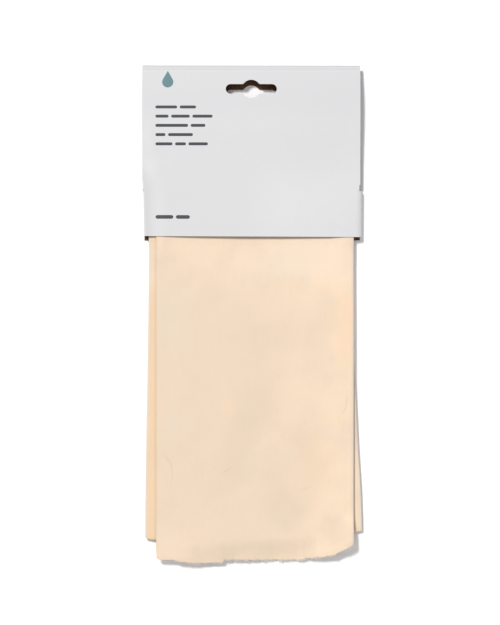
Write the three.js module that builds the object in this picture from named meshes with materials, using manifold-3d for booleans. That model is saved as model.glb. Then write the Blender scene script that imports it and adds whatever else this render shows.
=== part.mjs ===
// A chamois leather for cleaning windows, as it is sold: one soft skin folded in four,
// held in a folded board header with a hang slot. It lies on its back, +Z up, and +Y points to the hang slot.
// All sizes are in millimetres. While it is drawn, Y is zero at the front edge of the header's mouth.
import * as THREE from "three";
import { mergeVertices } from "three/addons/utils/BufferGeometryUtils.js";
import Module from "manifold-3d";

// Header card: one die-cut blank of board.
const boardThickness = 0.4;
const cardWidth = 140;
const frontHeight = 110.3; // from the mouth to the outside of the top fold
const backDrop = 2; // the back panel reaches this far below the front panel
const foldHeight = 4.8; // the front crease of the top fold stands this high, outside to outside
const foldCrease = 0.7; // outer radius of both creases of the top fold
const foldLean = 2.4; // the front crease reaches this far past the back one, so the fold overhangs
const foldRise = 0.12; // the front panel's slope where it leaves the fold
const bulgeHeight = 7.2; // the front panel's highest line, where the board springs off the skin
const bulgeBelowFold = 29;
const bulgeRun = 46; // from the highest line down to the level stretch above the side tabs

// Side tabs: they fold down from the front panel and are glued inside the back panel.
const tabLength = 29.7;
const tabCrease = 2.3; // outer radius of the soft crease along the front
const lapCrease = 0.9; // outer radius of the sharper crease along the back
const lapWidth = 11;
const lapTaper = 4; // how far the lap's upper end slants back
const leftTabIn = 1.1; // the left tab is creased this far in from the card's side at the mouth
const leftTabInAbove = 0.5; // and this far at its upper end
const rightTabOut = 1; // the right tab is creased this far past the card's side at the mouth
const rightTabOutAbove = 1.2; // and this far at its upper end
const reliefLength = 4; // small cut in the panel's edge, just above each tab
const reliefDepth = 0.5;

// Glue: one line of hot melt under each lap.
const glueThickness = 0.15;
const glueWidth = 5;
const glueLength = 20;

// Hang slot, punched in both panels before folding.
const slotWidth = 32.8;
const slotWingHeight = 6.3;
const slotRadius = 6; // the round middle
const slotFillet = 1.5;
const slotBelowFold = 15.3; // the front slot's centre
const slotDrop = 3; // the back slot sits this much lower

// Skin: one sheep's underhide, folded in a concertina with its raw side edge in front.
const plyThickness = 0.8;
const plyGap = 0.3;
const skinClearance = 0.25; // to the laps below and the front panel above
const skinBelowSlot = 1.5; // from the back slot down to the skin's upper end
const skinHang = 210; // the lowest point of the front ply below the mouth
const rightFoldInset = 4.3; // from the card's side to the first fold
const leftFoldInset = 4; // from the card's side to the second fold
const backFoldInset = 2.2; // the third fold hides this far behind the first one at the mouth
const frontEdgeInset = 4.8; // the raw front edge, in from the second fold
const backEdgeInset = 2.5; // the hidden raw edge, in from the second fold
const leftFlare = 2.5; // the second fold spreads to the left towards the bottom
const backFlare = 8.5; // and the third one to the right
const settleRun = 30; // below the mouth, the skin sinks to the surface over this stretch

// Outline of the front ply's natural lower edge: how far across the ply, and how far down the hang.
const frontEdgeShares = [
  [0, 0.967],
  [0.008, 0.982],
  [0.024, 0.987],
  [0.122, 0.996],
  [0.226, 1],
  [0.304, 0.997],
  [0.347, 0.991],
  [0.415, 0.992],
  [0.552, 0.986],
  [0.749, 0.989],
  [0.87, 0.978],
  [0.921, 0.968],
  [1, 0.938],
];
// The same on the three plies behind it, from each one's first fold to its next.
const secondEdgeShares = [
  [0, 0.938],
  [0.06, 0.945],
  [0.5, 0.948],
  [0.94, 0.938],
  [1, 0.927],
];
const thirdEdgeShares = [
  [0, 0.927],
  [0.06, 0.935],
  [0.5, 0.93],
  [0.94, 0.914],
  [1, 0.904],
];
const fourthEdgeShares = [
  [0, 0.904],
  [0.06, 0.912],
  [0.5, 0.92],
  [1, 0.91],
];
// How far below the slot each ply's upper end lies, as a share of the gap to the slot.
const upperEndShares = [1, 1.6, 1.2, 2];
// Pull of the curves that shape the bulging front panel, as shares of the stretch they span.
const bulgePullShare = 0.42;

const cutOverrun = 1; // every cutter reaches this far past what it cuts
const turnSteps = 5; // steps round each fold of the skin
const hangRows = 9; // rows of faces down the skin below the mouth

const wasm = await Module();
wasm.setup();

// Levels, from the surface that it lies on upwards.
const lapBottom = boardThickness + glueThickness;
const lapTop = lapBottom + boardThickness;
const skinLift = lapTop + skinClearance;
const plyPitch = plyThickness + plyGap;
const stackHeight = 4 * plyThickness + 3 * plyGap;
const frontUnderside = skinLift + stackHeight + skinClearance;
const frontTop = frontUnderside + boardThickness;
const halfWidth = cardWidth / 2;
const slotCentre = frontHeight - slotBelowFold;

function solidOf(geometry) {
  const bare = geometry.index ? geometry.toNonIndexed() : geometry.clone();
  bare.deleteAttribute("normal");
  bare.deleteAttribute("uv");
  const merged = mergeVertices(bare, 1e-4);
  return new wasm.Manifold(
    new wasm.Mesh({
      numProp: 3,
      vertProperties: merged.attributes.position.array,
      triVerts: new Uint32Array(merged.index.array),
    }),
  );
}

function geometryOf(solid) {
  const mesh = solid.getMesh();
  const geometry = new THREE.BufferGeometry();
  geometry.setAttribute("position", new THREE.BufferAttribute(mesh.vertProperties, 3));
  geometry.setIndex(new THREE.BufferAttribute(mesh.triVerts, 1));
  geometry.computeVertexNormals();
  return geometry;
}

// An outline drawn in the card's plane, X across and Y up the card, made into a block from one level to another.
function upright(shape, from, to) {
  const geometry = new THREE.ExtrudeGeometry(shape, {
    depth: to - from,
    bevelEnabled: false,
    curveSegments: 14,
  });
  geometry.translate(0, 0, from);
  return solidOf(geometry);
}

function polygon(points) {
  return new THREE.Shape(points.map(([x, y]) => new THREE.Vector2(x, y)));
}

// The blank's back panel, overhanging top fold and bulging front panel, as one folded strip of board.
function foldedPanels() {
  const frontCreaseY = frontHeight - foldCrease;
  const frontCreaseZ = foldHeight - foldCrease;
  const backCreaseY = frontCreaseY - foldLean;
  const innerCrease = foldCrease - boardThickness;
  const quarter = Math.PI / 2;
  const lean = Math.atan2(frontCreaseZ - foldCrease, foldLean) - quarter; // where the first arc ends
  const top = quarter - Math.atan(foldRise); // and where the second one does
  const bulgeY = frontHeight - bulgeBelowFold;
  const levelY = bulgeY - bulgeRun;
  const climb = frontCreaseY - bulgeY;
  const pull = climb * bulgePullShare;
  const onFront = (radius) => [
    frontCreaseY + radius * Math.cos(top),
    frontCreaseZ + radius * Math.sin(top),
  ];
  const [outerY, outerZ] = onFront(foldCrease);
  const [innerY, innerZ] = onFront(innerCrease);
  const side = new THREE.Shape();
  side.moveTo(-backDrop, 0);
  side.lineTo(backCreaseY, 0);
  side.absarc(backCreaseY, foldCrease, foldCrease, -quarter, lean, false);
  side.absarc(frontCreaseY, frontCreaseZ, foldCrease, lean, top, false);
  side.bezierCurveTo(
    outerY - pull, outerZ + pull * foldRise,
    bulgeY + pull, bulgeHeight,
    bulgeY, bulgeHeight,
  );
  side.bezierCurveTo(
    bulgeY - bulgeRun * bulgePullShare, bulgeHeight,
    levelY + bulgeRun * bulgePullShare, frontTop,
    levelY, frontTop,
  );
  side.lineTo(0, frontTop);
  side.lineTo(0, frontUnderside);
  side.lineTo(levelY, frontUnderside);
  side.bezierCurveTo(
    levelY + bulgeRun * bulgePullShare, frontUnderside,
    bulgeY - bulgeRun * bulgePullShare, bulgeHeight - boardThickness,
    bulgeY, bulgeHeight - boardThickness,
  );
  side.bezierCurveTo(
    bulgeY + pull, bulgeHeight - boardThickness,
    innerY - pull, innerZ + pull * foldRise,
    innerY, innerZ,
  );
  side.absarc(frontCreaseY, frontCreaseZ, innerCrease, top, lean, true);
  side.absarc(backCreaseY, foldCrease, innerCrease, lean, -quarter, true);
  side.lineTo(-backDrop, boardThickness);
  const strip = new THREE.ExtrudeGeometry(side, {
    depth: cardWidth,
    bevelEnabled: false,
    curveSegments: 12,
  });
  // The outline is drawn with Y to the right and Z up, and runs across the card.
  const turn = new THREE.Matrix4().makeBasis(
    new THREE.Vector3(0, 1, 0),
    new THREE.Vector3(0, 0, 1),
    new THREE.Vector3(1, 0, 0),
  );
  strip.applyMatrix4(turn);
  strip.translate(-halfWidth, 0, 0);
  return solidOf(strip);
}

// One tab on the right: soft crease, side wall, sharper crease and lap, in section, run up from the mouth.
// It is shifted sideways by one amount at the mouth and another at its upper end.
function rightTab(shift, shiftAbove) {
  const section = new THREE.Shape();
  const start = halfWidth - tabCrease - lapCrease;
  section.moveTo(start, frontUnderside);
  section.lineTo(halfWidth - tabCrease, frontUnderside);
  section.absarc(
    halfWidth - tabCrease, frontTop - tabCrease, tabCrease - boardThickness,
    Math.PI / 2, 0, true,
  );
  section.absarc(
    halfWidth - lapCrease, lapBottom + lapCrease, lapCrease - boardThickness,
    0, -Math.PI / 2, true,
  );
  section.lineTo(halfWidth - lapWidth, lapTop);
  section.lineTo(halfWidth - lapWidth, lapBottom);
  section.absarc(
    halfWidth - lapCrease, lapBottom + lapCrease, lapCrease,
    -Math.PI / 2, 0, false,
  );
  section.absarc(halfWidth - tabCrease, frontTop - tabCrease, tabCrease, 0, Math.PI / 2, false);
  section.lineTo(start, frontTop);
  const run = new THREE.ExtrudeGeometry(section, {
    depth: tabLength,
    bevelEnabled: false,
    curveSegments: 6,
  });
  // The section is drawn with X to the right and Z up, and runs towards the mouth.
  run.rotateX(Math.PI / 2);
  run.translate(0, tabLength, 0);
  const places = run.attributes.position;
  for (let i = 0; i < places.count; i++) {
    const above = places.getY(i) / tabLength;
    places.setX(i, places.getX(i) + shift + (shiftAbove - shift) * above);
  }
  const lapEdge = halfWidth - lapWidth + shiftAbove;
  const slant = polygon([
    [lapEdge - cutOverrun, tabLength - lapTaper],
    [halfWidth - lapCrease + shiftAbove, tabLength],
    [halfWidth - lapCrease + shiftAbove, tabLength + cutOverrun],
    [lapEdge - cutOverrun, tabLength + cutOverrun],
  ]);
  return solidOf(run).subtract(upright(slant, lapBottom - glueThickness, lapTop + skinClearance / 2));
}

// What is trimmed off the right of the flat front panel, where the tab's crease takes over, with the relief cut.
function rightTrim(shift, shiftAbove) {
  const outside = halfWidth + cutOverrun;
  const outline = polygon([
    [halfWidth - tabCrease + shift, 0],
    [halfWidth - tabCrease + shiftAbove, tabLength],
    [halfWidth - reliefDepth, tabLength],
    [halfWidth - reliefDepth, tabLength + reliefLength - reliefDepth],
    [halfWidth, tabLength + reliefLength],
    [outside, tabLength + reliefLength],
    [outside, -cutOverrun],
    [halfWidth - tabCrease + shift, -cutOverrun],
  ]);
  return upright(outline, lapTop, bulgeHeight + cutOverrun);
}

// What is trimmed off the right of the back panel, so that its edge keeps to a tab that is creased further in.
function rightBackTrim(shift, shiftAbove) {
  const outside = halfWidth + cutOverrun;
  const below = -backDrop - cutOverrun;
  const outline = polygon([
    [halfWidth + shiftAbove, tabLength],
    [outside, tabLength],
    [outside, below],
    [halfWidth + shift, below],
    [halfWidth + shift, 0],
  ]);
  return upright(outline, -cutOverrun, boardThickness + glueThickness / 2);
}

function mirrored(solid) {
  return solid.mirror([1, 0, 0]);
}

// The hang slot's outline round its own centre: two wings with round ends, and a round middle with soft shoulders.
function slotOutline(centreY) {
  const wing = slotWingHeight / 2;
  const end = slotWidth / 2 - wing;
  const shoulderY = wing + slotFillet;
  const shoulderX = Math.sqrt((slotRadius + slotFillet) ** 2 - shoulderY ** 2);
  const lean = Math.atan2(shoulderY, shoulderX);
  const quarter = Math.PI / 2;
  const half = Math.PI;
  const outline = new THREE.Shape();
  outline.absarc(end, centreY, wing, -quarter, quarter, false);
  outline.absarc(shoulderX, centreY + shoulderY, slotFillet, -quarter, lean - half, true);
  outline.absarc(0, centreY, slotRadius, lean, half - lean, false);
  outline.absarc(-shoulderX, centreY + shoulderY, slotFillet, -lean, -quarter, true);
  outline.absarc(-end, centreY, wing, quarter, 3 * quarter, false);
  outline.absarc(-shoulderX, centreY - shoulderY, slotFillet, quarter, lean, true);
  outline.absarc(0, centreY, slotRadius, half + lean, 2 * half - lean, false);
  outline.absarc(shoulderX, centreY - shoulderY, slotFillet, half - lean, quarter, true);
  return outline;
}

function headerCard() {
  const betweenPanels = foldHeight / 2;
  return foldedPanels()
    .subtract(rightTrim(rightTabOut, rightTabOutAbove))
    .subtract(mirrored(rightTrim(-leftTabIn, -leftTabInAbove)))
    .subtract(mirrored(rightBackTrim(-leftTabIn, -leftTabInAbove)))
    .add(rightTab(rightTabOut, rightTabOutAbove))
    .add(mirrored(rightTab(-leftTabIn, -leftTabInAbove)))
    .subtract(upright(slotOutline(slotCentre), betweenPanels, bulgeHeight + cutOverrun))
    .subtract(upright(slotOutline(slotCentre - slotDrop), -cutOverrun, betweenPanels));
}

// A line of glue under a lap, with round ends, halfway between where the tab stands at its two ends.
function glueLine(side, shift, shiftAbove) {
  const radius = glueWidth / 2;
  const middle = halfWidth - (lapWidth + lapCrease) / 2 + (shift + shiftAbove) / 2;
  const low = (tabLength - lapTaper - glueLength) / 2 + radius;
  const high = low + glueLength - glueWidth;
  const outline = new THREE.Shape();
  outline.absarc(side * middle, low, radius, Math.PI, 2 * Math.PI, false);
  outline.absarc(side * middle, high, radius, 0, Math.PI, false);
  return upright(outline, boardThickness, lapBottom);
}

// How far down from the mouth a place lies, from 0 at the mouth to 1 at the skin's lowest point.
function downShare(y) {
  return THREE.MathUtils.clamp(-y / skinHang, 0, 1);
}

// The four side lines of the folded skin at a height: the raw front edge, the three folds and the hidden raw edge.
function firstFoldX() {
  return halfWidth - rightFoldInset;
}

function secondFoldX(y) {
  return -halfWidth + leftFoldInset - leftFlare * THREE.MathUtils.smootherstep(downShare(y), 0, 1);
}

function thirdFoldX(y) {
  return firstFoldX() - backFoldInset + (backFlare * -y) / skinHang;
}

function frontEdgeX() {
  return -halfWidth + leftFoldInset + frontEdgeInset;
}

function hiddenEdgeX(y) {
  return secondFoldX(y) + backEdgeInset;
}

// The level of the skin's underside: above the laps inside the card, and down on the surface below the mouth.
function undersideAt(y) {
  const start = -2 * backDrop;
  const share = THREE.MathUtils.clamp((start - y) / settleRun, 0, 1);
  return skinLift * (1 - THREE.MathUtils.smoothstep(share, 0, 1));
}

// Stations along the folded skin, from the raw front edge round the three folds to the hidden edge. Each one gives
// its place across at a height, its level over the underside, the way the sheet's face looks there, and its ends.
function stations() {
  const list = [];
  const turn = (plyThickness + plyPitch) / 2; // from a fold's outside in to the middle of its turn
  const sides = [
    [() => frontEdgeX(), (y) => firstFoldX() - turn],
    [(y) => firstFoldX() - turn, (y) => secondFoldX(y) + turn],
    [(y) => secondFoldX(y) + turn, (y) => thirdFoldX(y) - turn],
    [(y) => thirdFoldX(y) - turn, (y) => hiddenEdgeX(y)],
  ];
  const edges = [frontEdgeShares, secondEdgeShares, thirdEdgeShares, fourthEdgeShares];
  const slotFoot = slotCentre - slotDrop - slotRadius;
  edges.forEach((edge, ply) => {
    const level = plyThickness / 2 + (3 - ply) * plyPitch;
    const facing = ply % 2 ? -1 : 1;
    const [from, to] = sides[ply];
    const upper = slotFoot - skinBelowSlot * upperEndShares[ply];
    for (const [across, down] of edge)
      list.push({
        x: (y) => from(y) + (to(y) - from(y)) * across,
        level,
        normal: [0, facing],
        upper,
        lower: -skinHang * down,
      });
    if (ply === 3) return;
    const nextUpper = slotFoot - skinBelowSlot * upperEndShares[ply + 1];
    const radius = plyPitch / 2;
    for (let step = 1; step < turnSteps; step++) {
      const share = step / turnSteps;
      const angle = Math.PI * (1 / 2 - share);
      list.push({
        x: (y) => to(y) + facing * radius * Math.cos(angle),
        level: level - radius + radius * Math.sin(angle),
        normal: [Math.cos(angle), facing * Math.sin(angle)],
        upper: upper + (nextUpper - upper) * share,
        lower: -skinHang * edge[edge.length - 1][1],
      });
    }
  });
  return list;
}

// The skin as one closed sheet: a grid of points on each face, joined round the rim.
function chamoisSkin() {
  const list = stations();
  const rows = hangRows + 3;
  const heightOf = (station, row) => {
    if (row === 0) return station.upper;
    const mouth = -2 * backDrop;
    if (row === 1) return mouth;
    const settled = mouth - settleRun;
    const share = (row - 3) / hangRows;
    if (row === 2) return mouth - settleRun / 2;
    return settled + (station.lower - settled) * share;
  };
  const points = [];
  const at = (face, row, column) => (face * (rows + 1) + row) * list.length + column;
  for (const face of [1, -1])
    for (let row = 0; row <= rows; row++)
      for (const station of list) {
        const y = heightOf(station, row);
        const out = (face * plyThickness) / 2;
        points.push(
          station.x(y) + station.normal[0] * out,
          y,
          undersideAt(y) + station.level + station.normal[1] * out,
        );
      }
  const faces = [];
  const quad = (a, b, c, d) => faces.push(a, b, c, a, c, d);
  const last = list.length - 1;
  for (let row = 0; row < rows; row++) {
    for (let column = 0; column < last; column++) {
      quad(at(0, row, column), at(0, row + 1, column), at(0, row + 1, column + 1), at(0, row, column + 1));
      quad(at(1, row, column), at(1, row, column + 1), at(1, row + 1, column + 1), at(1, row + 1, column));
    }
    quad(at(0, row, 0), at(1, row, 0), at(1, row + 1, 0), at(0, row + 1, 0));
    quad(at(0, row, last), at(0, row + 1, last), at(1, row + 1, last), at(1, row, last));
  }
  for (let column = 0; column < last; column++) {
    quad(at(0, 0, column), at(0, 0, column + 1), at(1, 0, column + 1), at(1, 0, column));
    quad(at(0, rows, column), at(1, rows, column), at(1, rows, column + 1), at(0, rows, column + 1));
  }
  const geometry = new THREE.BufferGeometry();
  geometry.setAttribute("position", new THREE.BufferAttribute(new Float32Array(points), 3));
  geometry.setIndex(faces);
  geometry.computeVertexNormals();
  return geometry;
}

const board = new THREE.MeshStandardMaterial({ color: 0xe3e3e5, roughness: 0.55, metalness: 0 });
const hotMelt = new THREE.MeshStandardMaterial({ color: 0xe8dfc4, roughness: 0.35, metalness: 0 });
const leather = new THREE.MeshStandardMaterial({ color: 0xf2dcc0, roughness: 0.95, metalness: 0 });

function piece(name, geometry, material) {
  const mesh = new THREE.Mesh(geometry, material);
  mesh.name = name;
  return mesh;
}

const packed = new THREE.Group();
packed.add(piece("header_card", geometryOf(headerCard()), board));
packed.add(piece("glue_line_left", geometryOf(glueLine(-1, -leftTabIn, -leftTabInAbove)), hotMelt));
packed.add(piece("glue_line_right", geometryOf(glueLine(1, rightTabOut, rightTabOutAbove)), hotMelt));
packed.add(piece("chamois_skin", chamoisSkin(), leather));

// The origin is the middle of the footprint, on the surface that the pack lies on.
const outline = new THREE.Box3().setFromObject(packed);
const middle = outline.getCenter(new THREE.Vector3());
packed.position.set(-middle.x, -middle.y, -outline.min.z);

const group = new THREE.Group();
group.name = "chamois_leather";
group.add(packed);

export default group;
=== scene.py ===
import math
import random

import bmesh
import bpy
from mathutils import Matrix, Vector, noise
from mathutils.geometry import interpolate_bezier


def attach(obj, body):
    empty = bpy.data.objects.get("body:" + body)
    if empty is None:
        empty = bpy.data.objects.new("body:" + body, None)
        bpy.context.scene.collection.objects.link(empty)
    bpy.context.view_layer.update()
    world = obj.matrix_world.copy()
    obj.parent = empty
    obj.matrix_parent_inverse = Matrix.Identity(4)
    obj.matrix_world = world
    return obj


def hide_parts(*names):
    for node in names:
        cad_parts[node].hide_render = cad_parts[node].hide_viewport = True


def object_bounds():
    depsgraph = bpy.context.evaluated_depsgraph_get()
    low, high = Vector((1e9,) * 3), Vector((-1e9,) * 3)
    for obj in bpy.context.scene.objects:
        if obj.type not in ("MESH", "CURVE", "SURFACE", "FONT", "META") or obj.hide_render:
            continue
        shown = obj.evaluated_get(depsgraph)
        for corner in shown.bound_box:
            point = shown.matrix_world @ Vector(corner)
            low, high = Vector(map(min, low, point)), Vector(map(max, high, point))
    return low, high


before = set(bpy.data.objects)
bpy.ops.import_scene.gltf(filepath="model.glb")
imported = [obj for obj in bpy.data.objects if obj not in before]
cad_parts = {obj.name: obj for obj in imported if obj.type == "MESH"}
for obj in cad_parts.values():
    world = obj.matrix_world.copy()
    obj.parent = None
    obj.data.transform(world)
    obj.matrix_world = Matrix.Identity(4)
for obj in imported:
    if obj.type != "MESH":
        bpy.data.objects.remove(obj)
cad_low, cad_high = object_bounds()


# Camera. The pack lies on a white table and is photographed from straight above with a long lens.
# Sizes are written in millimetres of the real pack, and mm turns them into metres.
mm = 0.001
photo_width = 500
photo_height = 625
pixels_per_mm = 1.557
origin_px = (252.23, 314.62)
sharp_level = 5
lens = 100
sensor = 36


def from_photo(px, py):
    """The place across and up the pack, in millimetres, of a pixel of the photograph."""
    return (px - origin_px[0]) / pixels_per_mm, (origin_px[1] - py) / pixels_per_mm


view_x, view_y = from_photo(photo_width / 2, photo_height / 2)
camera_height = sharp_level + photo_height / pixels_per_mm * lens / sensor
camera = bpy.data.objects.new("camera", bpy.data.cameras.new("camera"))
camera.data.lens = lens
camera.data.sensor_width = sensor
camera.location = (view_x * mm, view_y * mm, camera_height * mm)
bpy.context.collection.objects.link(camera)
bpy.context.scene.camera = camera


# Chamois. One sheep's underhide, tanned with oil, napped on both faces, cut at its sides and torn at
# its foot. It is folded in four like a concertina, with its raw side edge in front on the left.
# Y is measured here from the front edge of the card's mouth, and X from the card's middle.
mouth_to_origin = Vector((-0.6, 49.85, 0))
card_half = 70
ply_thickness = 0.8
ply_pitch = 1.1
last_ply = 3
skin_hang = 210
settle_start = -3
settle_run = 20
fold_inset = 4.05
fold_x = card_half - fold_inset
raw_edge_x = -61.2
second_fold_x = -66
second_fold_flare = 2.5
third_fold_line = (
    (-0.41, 59.75),
    (0, 63.4),
    (0.3, 65.8),
    (0.5, 67.5),
    (0.59, 68.35),
    (0.68, 69.45),
    (0.73, 70.15),
    (0.775, 70.7),
    (0.82, 71.1),
    (0.87, 71.35),
    (1, 72.0),
)
hidden_edge_inset = 2.5
turn_radius = 0.55
turn_inset = turn_radius + ply_thickness / 2
turn_squareness = 0.75
right_rise = 0.6
left_puff = 0.5
lift_on_board = 0.45
lift_on_lap = 1.08
top_at_mouth = (
    (-66, 4.95),
    (-61.5, 5.0),
    (-57, 5.25),
    (-46, 4.75),
    (-33, 4.35),
    (-8, 4.05),
    (11, 4.3),
    (31, 4.75),
    (50, 4.72),
    (53, 4.95),
    (59, 5.3),
    (63, 5.15),
    (66, 5.0),
)
top_inside = (
    (-66, 4.35),
    (-60, 4.35),
    (-50, 4.6),
    (-33, 4.4),
    (0, 4.3),
    (31, 4.5),
    (50, 4.4),
    (66, 4.4),
)
inside_run = 8
lap_span = (50, 57)
upper_ends = (84.5, 83.6, 84.2, 83.0)
ply_columns = (204, 32, 40, 26)
turn_columns = 9
skin_rows = 138
row_crowding = 1.5
front_foot_px = (
    (155.9, 552.0),
    (156.1, 556.6),
    (156.9, 558.7),
    (159, 559.5),
    (162, 559.7),
    (174, 559.8),
    (176.8, 561.0),
    (182, 561.7),
    (190, 562.35),
    (194, 562.9),
    (204, 563.2),
    (210, 562.7),
    (222, 562.7),
    (223.6, 560.2),
    (230, 560.0),
    (238, 560.0),
    (246, 560.4),
    (262, 560.1),
    (270, 559.9),
    (292, 560.1),
    (302.5, 560.0),
    (305, 558.5),
    (314, 557.4),
    (322, 557.0),
    (326, 556.4),
    (330, 555.5),
    (334, 554.6),
    (338, 552.4),
    (346, 548.5),
    (353.8, 543.8),
)
foot_droop = (
    (-66, -0.4),
    (-57, -1.1),
    (-48, -1.5),
    (-38, -1.0),
    (-33, -0.3),
    (-26, -0.1),
    (-21, 0.1),
    (-16, 0.7),
    (-10, 1.0),
    (-5, 0.8),
    (2, 1.2),
    (14, 2.5),
    (30, 2.2),
    (36, 1.2),
    (42, 0.0),
    (47, -1.0),
    (52, -1.9),
    (57, -2.3),
    (62, -3.0),
    (66, -3.2),
)
droop_run = 15
curl_run = 23
second_foot = (
    (0, 0.938),
    (0.06, 0.94),
    (0.3, 0.93),
    (0.7, 0.93),
    (0.94, 0.926),
    (0.985, 0.926),
    (1, 0.923),
)
third_foot = (
    (0, 0.923),
    (0.03, 0.917),
    (0.5, 0.92),
    (0.94, 0.905),
    (0.99, 0.9035),
    (1, 0.9),
)
fourth_foot = ((0, 0.903), (0.06, 0.91), (0.5, 0.92), (1, 0.91))
raw_edge_waver = 0.25
raw_edge_wave = 17
hollows_from = (6, 60)
hollow_middle = 0.42
broad_swell = 0.55
broad_size = (62, 75)
small_swell = 0.16
small_size = (24, 31)
right_rise_span = (34, 62)
left_puff_span = (18, 60)
left_puff_run = 14
ripple_height = 0.1
ripple_from = (10, 40)
ripple_size = (11, 14)
ragged_left = (-24, -14)
ragged_right = (34, 46)
least_ragged = 0.5
tear_height = 0.12
tear_width = 5.1
nick_height = 0.3
nick_width = 1.7
thread_height = 0.55
thread_width = 0.75
# How strong the painted shade along the folds is beside them, and how it fades onto the plies.
beside_fold = 0.55
fold_shade_run = 2.5
fold_shade_from = 0.7
foot_weight = 0.3
full_weight_rows = 9
least_thickness = 0.3
front_foot_line = [from_photo(*point) for point in front_foot_px]


def eased(value, low, high):
    """0 below low, 1 above high, and a soft step between them."""
    share = min(1, max(0, (value - low) / (high - low)))
    return share * share * (3 - 2 * share)


def along(points, value):
    """The height of a line of points at a value. Beyond its ends the line runs on level."""
    for (x0, y0), (x1, y1) in zip(points, points[1:]):
        if value <= x1:
            return y0 + (y1 - y0) * max(0, value - x0) / (x1 - x0)
    return points[-1][1]


def hung(y):
    """How far down the skin hangs at y, from 0 at the mouth to 1 at its foot."""
    return min(1, max(0, -y / skin_hang))


def second_fold(y):
    """How far across the second fold lies at y. It flares to the left as the skin hangs free."""
    return second_fold_x - second_fold_flare * eased(hung(y), 0, 1)


def third_fold(y):
    """How far across the third fold lies at y. It comes out from behind the first one lower down."""
    return along(third_fold_line, -y / skin_hang)


# Every noise from here on is read in a place of its own, which its bare numbers pick.
def ply_sides(ply, y):
    """Where a ply starts and ends across, in the order in which the skin runs through its folds."""
    waver = raw_edge_waver * noise.noise(Vector((0.1, y / raw_edge_wave, 3)))
    return (
        (raw_edge_x + waver, fold_x - turn_inset),
        (fold_x - turn_inset, second_fold(y) + turn_inset),
        (second_fold(y) + turn_inset, third_fold(y) - turn_inset),
        (third_fold(y) - turn_inset, second_fold(y) + hidden_edge_inset),
    )[ply]


def pillow(x, y):
    """Soft hollows and swells that all four plies share. They fade out where the card holds them."""
    free = eased(-y, *hollows_from)
    broad = noise.noise(Vector((x / broad_size[0], y / broad_size[1], 1.7)))
    small = noise.noise(Vector((x / small_size[0], y / small_size[1], 8.2)))
    return free * max(0, hollow_middle + broad_swell * broad + small_swell * small)


def ply_level(ply, x, y):
    """The height of the middle of a ply over the table.

    The card squeezes the plies together, and its board lies below them.
    """
    free_top = ply_thickness + last_ply * ply_pitch
    mouth_top = along(top_at_mouth, x)
    held_top = mouth_top + (along(top_inside, x) - mouth_top) * eased(y, 0, inside_run)
    freed = eased(settle_start - y, 0, settle_run)
    top = held_top + (free_top - held_top) * freed
    lowest = lift_on_board + (lift_on_lap - lift_on_board) * eased(abs(x), *lap_span)
    room = top - lowest * (1 - freed) - ply_thickness
    pitch = min(ply_pitch, room / last_ply)
    level = top - ply_thickness / 2 - ply * pitch + pillow(x, y)
    level += right_rise * eased(x, *right_rise_span) * freed
    if ply < 2:
        level += left_puff * eased(-x, *left_puff_span) * eased(-y, 0, left_puff_run)
    if ply == 0:
        ripple = noise.noise(Vector((x / ripple_size[0], y / ripple_size[1], 4.4)))
        level += ripple_height * eased(-y, *ripple_from) * ripple
    droop = along(foot_droop, x)
    if ply == 0 or (ply == 1 and droop < 0 < x):
        run = droop_run if droop > 0 else curl_run
        level -= droop * (1 - eased(y - front_foot(x), 0, run))
    return level


def front_foot(x):
    """How far down the front ply reaches at x."""
    return along(front_foot_line, x + mouth_to_origin.x) - mouth_to_origin.y


def foot(ply, share, x):
    """How far down a ply's torn lower edge lies at a place across it."""
    if ply == 0:
        y = front_foot(x)
    else:
        y = -skin_hang * along((second_foot, third_foot, fourth_foot)[ply - 1], share)
    most_ragged = eased(x, *ragged_left) * (1 - eased(x, *ragged_right))
    ragged = least_ragged + (1 - least_ragged) * most_ragged
    tears = tear_height * noise.noise(Vector((x / tear_width, ply * 7.3, 0.4)))
    nicks = nick_height * noise.noise(Vector((x / nick_width, ply * 5.9, 2.6)))
    threads = thread_height * noise.noise(Vector((x / thread_width, ply * 3.1, 5.5)))
    return y + tears + ragged * (nicks + threads)


skin_stations = []
for ply, columns in enumerate(ply_columns):
    for column in range(columns + 1):
        skin_stations.append((ply, column / columns, None))
    if ply < last_ply:
        for step in range(1, turn_columns):
            skin_stations.append((ply, 1, step / turn_columns))


def skin_place(station, down):
    """Where a point of the flat skin comes to lie when it is folded up."""
    ply, share, turn = station
    rough_x = ply_sides(ply, -skin_hang)
    x_at_foot = rough_x[0] + (rough_x[1] - rough_x[0]) * share
    low = foot(ply, share, x_at_foot)
    high = upper_ends[ply]
    if turn is not None:
        low_next = foot(ply + 1, 0, x_at_foot)
        low += (low_next - low) * turn
        high += (upper_ends[ply + 1] - high) * turn
    y = high + (low - high) * (1 - (1 - down) ** row_crowding)
    start, end = ply_sides(ply, y)
    x = start + (end - start) * share
    z = ply_level(ply, x, y)
    if turn is not None:
        below = ply_level(ply + 1, x, y)
        angle = math.pi * (0.5 - turn)
        outward = -1 if ply % 2 else 1
        x += outward * turn_radius * math.cos(angle) ** turn_squareness
        rise = math.copysign(abs(math.sin(angle)) ** turn_squareness, math.sin(angle))
        z = (z + below) / 2 + (z - below) / 2 * rise
    return Vector((x, y, z))


def fold_shade(station):
    """Painted shade on the nap: 1 along the outermost line of a fold, fading out on its plies."""
    ply, share, turn = station
    if turn is not None:
        outward = math.sin(math.pi * turn)
        return beside_fold + (1 - beside_fold) * eased(outward, 0, fold_shade_from)
    start, end = ply_sides(ply, 0)
    to_start = abs(end - start) * (share if ply > 0 else 1)
    to_end = abs(end - start) * (1 - share if ply < last_ply else 1)
    return beside_fold * (1 - eased(min(to_start, to_end), 0, fold_shade_run))


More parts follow.
